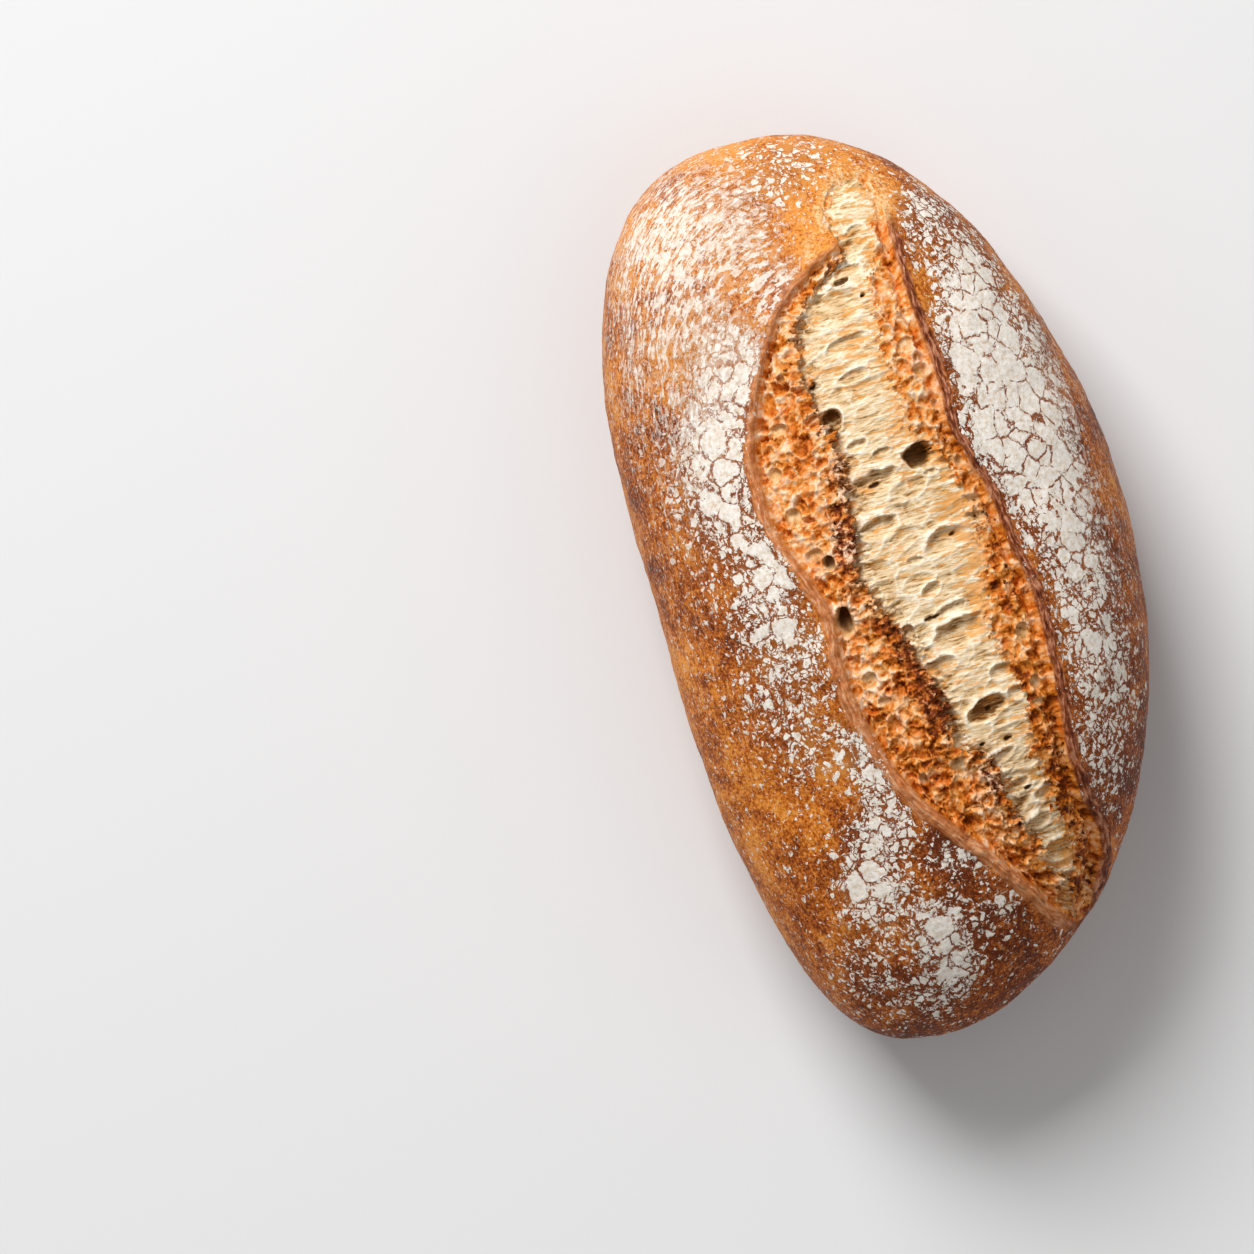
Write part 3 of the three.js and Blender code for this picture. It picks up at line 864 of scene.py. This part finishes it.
def torn_colour(n, mm):
    """Toasted, torn crumb: pinkish-white flats, golden hollows, burnt edges and painted shade in the
    deep holes.
    """
    grain = n.noise(n.warped(mm, 0.8, 0.9), 4, 0.64, 0.6).outputs["Fac"]
    level = n.math("ADD", n.math("MULTIPLY", n.mask("pale"), 0.65), n.math("MULTIPLY", grain, 0.8))
    # The dark mask darkens the bands: painted shade towards the slim end and the -Y side, with some
    # toasting
    level = n.math("SUBTRACT", level, n.math("MULTIPLY", n.mask("dark"), 0.18))
    golden = n.ramp(level, [(0.34, srgb(120, 52, 4)), (0.47, srgb(188, 100, 20)),
                            (0.62, srgb(216, 132, 50)), (0.8, srgb(234, 176, 116)),
                            (1.05, srgb(244, 214, 184))])
    hollow = n.ramp(grain, [(0.35, srgb(190, 136, 70)), (0.5, srgb(220, 178, 122)),
                            (0.65, srgb(236, 208, 166))])
    redder = n.step(n.noise(n.warped(mm, 0.4, 2.0), 3, 0.6, 0.24).outputs["Fac"], 0.44, 0.62)
    golden = n.mix(n.math("MULTIPLY", redder, 0.8), golden, srgb(246, 212, 182), "MULTIPLY")
    golden = n.mix(n.math("MULTIPLY", n.mask("hollow"), 0.9), golden, hollow)
    dark = n.ramp(grain, [(0.36, srgb(60, 20, 2)), (0.5, srgb(132, 58, 16)),
                          (0.62, srgb(196, 108, 56))])
    # Painted shade: the deep holes are painted dark brown
    golden = n.mix(n.mask("deep"), golden, srgb(84, 48, 12))
    patchy = n.math("ADD", n.mask("burnt"), n.math("MULTIPLY", n.math("SUBTRACT", grain, 0.5), -4.0))
    return n.mix(n.step(patchy, 0.4, 1.1), golden, dark)


def crumb_colour(n, mm):
    """Cream crumb: pale strands over darker hollows, partly painted light and shade, with a few toasted
    threads.
    """
    bent = n.warped(mm, 0.5, 0.8)
    threads = n.noise(n.scaled(bent, (2.0, 0.24, 0.7)), 4, 0.64).outputs["Fac"]
    level = n.math("ADD", n.mask("pale"), n.math("MULTIPLY", n.math("SUBTRACT", threads, 0.5), 1.9))
    cream = n.ramp(level, [(0.0, srgb(134, 88, 40)), (0.2, srgb(194, 156, 106)),
                           (0.42, srgb(222, 192, 148)), (0.65, srgb(238, 214, 178)),
                           (0.95, srgb(247, 234, 212))])
    streak = n.noise(n.scaled(bent, (0.95, 0.2, 0.3)), 4, 0.62).outputs["Fac"]
    where = n.step(n.noise(mm, 2, 0.5, 0.11).outputs["Fac"], 0.42, 0.6)
    limit = n.math("SUBTRACT", 0.6, n.math("MULTIPLY", where, 0.06))
    limit = n.math("SUBTRACT", limit, n.math("MULTIPLY", n.mask("toasted"), 0.13))
    toasted = n.step(n.math("SUBTRACT", streak, limit), 0.0, 0.06)
    cream = n.mix(n.math("MULTIPLY", toasted, 0.75), cream, srgb(226, 152, 66))
    # Painted shade: the deep bubbles and the slits are painted dark brown
    return n.mix(n.math("MULTIPLY", n.mask("deep"), 0.85), cream, srgb(70, 42, 12))


def lip_colour(n, mm):
    """Smooth pinkish-brown edge of the torn crust, with fine lines along it."""
    lines = n.flowing(mm, "across", 0.35, 1.5)
    left = n.ramp(lines, [(0.34, srgb(150, 76, 32)), (0.5, srgb(196, 122, 72)),
                          (0.68, srgb(228, 178, 138))])
    right = n.ramp(lines, [(0.4, srgb(74, 28, 10)), (0.5, srgb(132, 66, 34)),
                           (0.62, srgb(194, 134, 102))])
    return n.mix(n.mask("right_side"), left, right)


# ---------------------------------------------------------------- the stage
def make_floor():
    mesh = bpy.data.meshes.new("floor")
    corners = [(x * FLOOR_HALF, y * FLOOR_HALF, 0) for x, y in ((-1, -1), (1, -1), (1, 1), (-1, 1))]
    mesh.from_pydata(corners, [], [(0, 1, 2, 3)])
    floor = bpy.data.objects.new("floor", mesh)
    bpy.context.scene.collection.objects.link(floor)
    n = Nodes("floor")
    shader = n.new("ShaderNodeBsdfPrincipled")
    shader.inputs["Base Color"].default_value = FLOOR_COLOUR
    shader.inputs["Roughness"].default_value = 0.6
    n.link(shader.outputs["BSDF"], n.new("ShaderNodeOutputMaterial").inputs["Surface"])
    mesh.materials.append(n.material)


def make_light(name, towards, distance, size, power):
    """A soft square light that shines on the loaf from a direction."""
    light = bpy.data.lights.new(name, "AREA")
    light.size = size
    light.energy = power
    holder = bpy.data.objects.new(name, light)
    direction = Vector(towards).normalized()
    holder.location = direction * distance
    holder.rotation_mode = "QUATERNION"
    holder.rotation_quaternion = direction.to_track_quat("Z", "Y")
    bpy.context.scene.collection.objects.link(holder)


def make_world():
    world = bpy.data.worlds.new("studio")
    world.use_nodes = True
    background = world.node_tree.nodes["Background"]
    background.inputs["Color"].default_value = SKY_COLOUR
    background.inputs["Strength"].default_value = SKY_STRENGTH
    bpy.context.scene.world = world


def make_camera():
    camera = bpy.data.objects.new("camera", bpy.data.cameras.new("camera"))
    camera.data.lens = CAMERA_LENS
    camera.location = (*CAMERA_PLACE, CAMERA_HEIGHT)
    camera.rotation_euler = (0, 0, CAMERA_TURN)
    bpy.context.scene.collection.objects.link(camera)
    bpy.context.scene.camera = camera


def make_loaf():
    points, masks = loaf_shape()
    loaf = bpy.data.objects.new("sourdough_loaf", make_mesh(points, masks))
    bpy.context.scene.collection.objects.link(loaf)
    loaf.data.materials.append(bread_material())
    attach(loaf, "root")
    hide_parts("loaf")


make_camera()
make_world()
for light in LIGHTS:
    make_light(*light)
make_floor()
make_loaf()
bpy.context.scene.view_settings.view_transform = "Standard"
